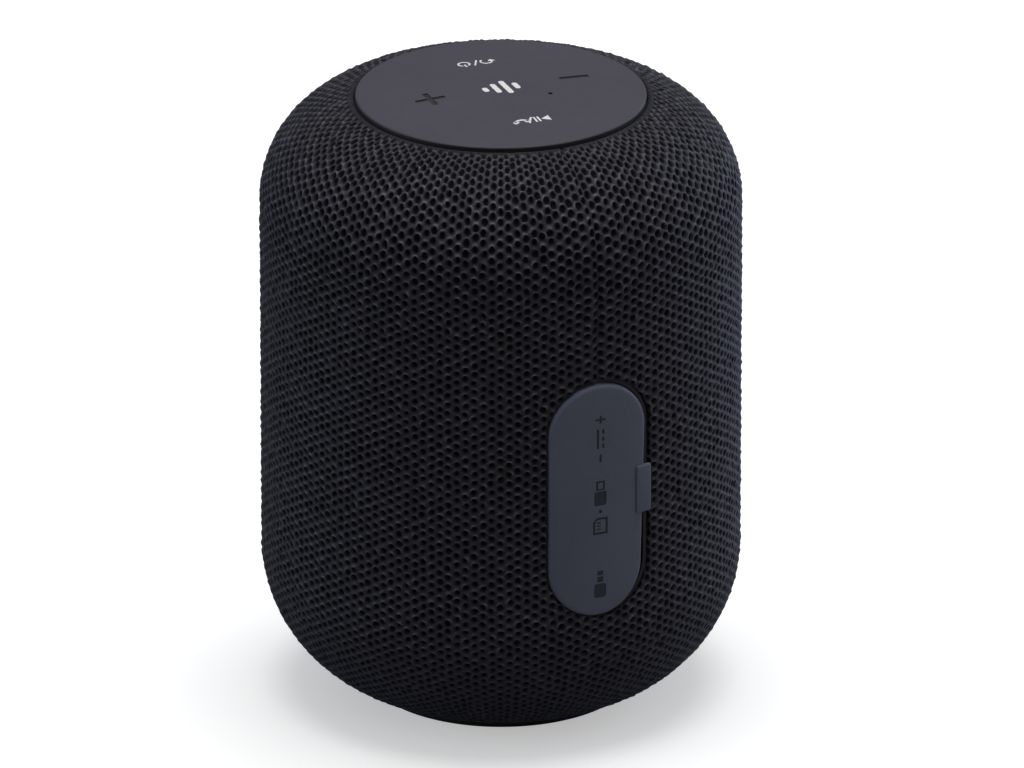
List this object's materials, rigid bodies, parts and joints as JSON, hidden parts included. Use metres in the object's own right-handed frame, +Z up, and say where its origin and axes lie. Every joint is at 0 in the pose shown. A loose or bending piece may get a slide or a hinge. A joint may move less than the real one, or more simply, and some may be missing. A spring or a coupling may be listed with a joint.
{
  "type": "portable bluetooth speaker",
  "caption": "Upright barrel speaker in black mesh fabric with a round key pad on top, a rubber port cover on its front side and an upward-firing driver inside.",
  "frame": {"origin": "centre of the foot, on the plane the speaker rests on", "axes": "+Z up along the barrel's axis, the port cover faces -Y, the plus key is on -X and the minus key on +X"},
  "size_m": [0.08, 0.0807, 0.106],
  "materials": {
    "mesh_fabric": "black open-knit polyester air mesh, matte strands over a dark backing",
    "housing_plastic": "moulded black ABS, satin inside and out",
    "pad_rubber": "dark grey matte silicone with a fine grain",
    "cover_rubber": "slate grey matte thermoplastic rubber with a fine grain",
    "foot_rubber": "black matte rubber",
    "gasket_foam": "closed-cell foam, black",
    "board_green": "green solder-masked glass-epoxy board",
    "chip_epoxy": "black moulded epoxy",
    "connector_black": "black moulded nylon",
    "connector_white": "off-white nylon",
    "socket_steel": "nickel-plated folded steel",
    "screw_steel": "zinc-plated steel",
    "can_aluminium": "bright drawn aluminium",
    "cell_foil": "silver laminated pouch foil",
    "wire_red": "red wire insulation",
    "wire_black": "black wire insulation",
    "basket_steel": "black painted pressed steel",
    "plated_steel": "zinc-plated machined steel",
    "ferrite": "dark grey sintered ferrite",
    "cone_paper": "black pressed paper",
    "coil_copper": "enamelled copper winding on a former",
    "surround_rubber": "soft black rubber",
    "spider_cloth": "resin-stiffened yellow cloth",
    "lamp": "clear epoxy over a white lamp"
  },
  "bodies": {
    "casing": {"aux_jack": "connector_black", "baffle": "housing_plastic", "baffle_screws": "screw_steel", "base_gasket": "gasket_foam", "base_shell": "housing_plastic", "battery_cell": "cell_foil", "battery_lead_black": "wire_black", "battery_lead_red": "wire_red", "battery_tray": "housing_plastic", "board_screws": "screw_steel", "button_board": "board_green", "button_board_screws": "screw_steel", "button_cable": "wire_black", "button_pad": "pad_rubber", "cable_headers": "connector_white", "capacitors": "can_aluminium", "card_socket": "socket_steel", "cover_anchor": "cover_rubber", "dc_socket": "socket_steel", "driver_basket": "basket_steel", "driver_gasket": "gasket_foam", "driver_magnet": "ferrite", "driver_screws": "screw_steel", "driver_spider": "spider_cloth", "driver_surround": "surround_rubber", "driver_top_plate": "plated_steel", "driver_yoke": "plated_steel", "fabric_sleeve": "mesh_fabric", "housing_body": "housing_plastic", "main_board": "board_green", "microphone": "can_aluminium", "port_panel": "housing_plastic", "power_inductor": "ferrite", "rubber_foot": "foot_rubber", "signal_chips": "chip_epoxy", "speaker_lead_black": "wire_black", "speaker_lead_red": "wire_red", "status_led": "lamp", "tact_switches": "connector_black", "top_cap": "housing_plastic", "top_cap_screws": "screw_steel", "tray_screws": "screw_steel", "usb_shell": "socket_steel", "usb_tongue": "connector_white"},
    "cover": {"port_cover": "cover_rubber"},
    "plus_key": {"key_plus": "pad_rubber", "plunger_plus": "connector_black"},
    "minus_key": {"key_minus": "pad_rubber", "plunger_minus": "connector_black"},
    "power_key": {"key_power": "pad_rubber", "plunger_power": "connector_black"},
    "play_key": {"key_play": "pad_rubber", "plunger_play": "connector_black"},
    "diaphragm": {"voice_coil": "coil_copper", "driver_cone": "cone_paper", "dust_cap": "cone_paper"}
  },
  "joints": [
    {"name": "cover_hinge", "type": "hinge", "parent": "casing", "child": "cover", "pos_m": [-0.00865, -0.0399, 0.0476], "axis": [0, 0, -1], "range_deg": [0, 120]},
    {"name": "plus_press", "type": "slide", "parent": "casing", "child": "plus_key", "axis": [0, 0, -1], "range_m": [0, 0.0003], "stiffness_N_per_m": 40},
    {"name": "minus_press", "type": "slide", "parent": "casing", "child": "minus_key", "axis": [0, 0, -1], "range_m": [0, 0.0003], "stiffness_N_per_m": 40},
    {"name": "power_press", "type": "slide", "parent": "casing", "child": "power_key", "axis": [0, 0, -1], "range_m": [0, 0.0003], "stiffness_N_per_m": 40},
    {"name": "play_press", "type": "slide", "parent": "casing", "child": "play_key", "axis": [0, 0, -1], "range_m": [0, 0.0003], "stiffness_N_per_m": 40},
    {"name": "cone_travel", "type": "slide", "parent": "casing", "child": "diaphragm", "axis": [0, 0, 1], "range_m": [-0.002, 0.002], "stiffness_N_per_m": 800, "deforming": ["driver_surround", "driver_spider"]}
  ]
}
